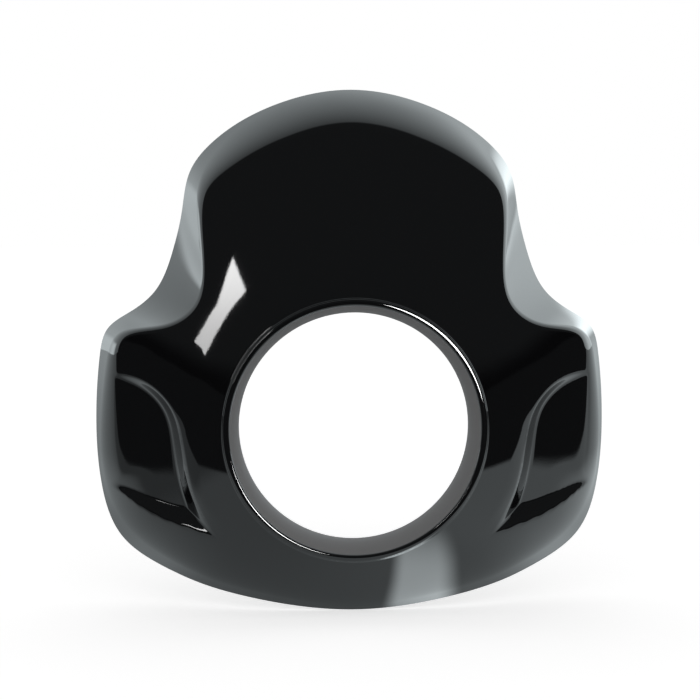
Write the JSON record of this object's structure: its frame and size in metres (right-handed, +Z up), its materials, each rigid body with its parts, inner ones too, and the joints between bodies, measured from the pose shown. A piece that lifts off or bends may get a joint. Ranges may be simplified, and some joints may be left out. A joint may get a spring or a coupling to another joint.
{
  "type": "headlight cowl",
  "caption": "Gloss-black moulded cowl that surrounds a round motorbike headlamp, with a tall visor above the lamp, side wings with inset scoops and a shallow chin.",
  "frame": {"origin": "on the lamp axis, in the middle of the straight land at the back of the collar", "axes": "+Y runs back along the lamp axis, away from the front of the cowl; +Z is up; +X is to the right as seen from the front"},
  "size_m": [0.365, 0.0711, 0.3645],
  "materials": {
    "moulding": "gloss black"
  },
  "bodies": {
    "root": {"cowl_shell": "moulding"}
  },
  "joints": []
}
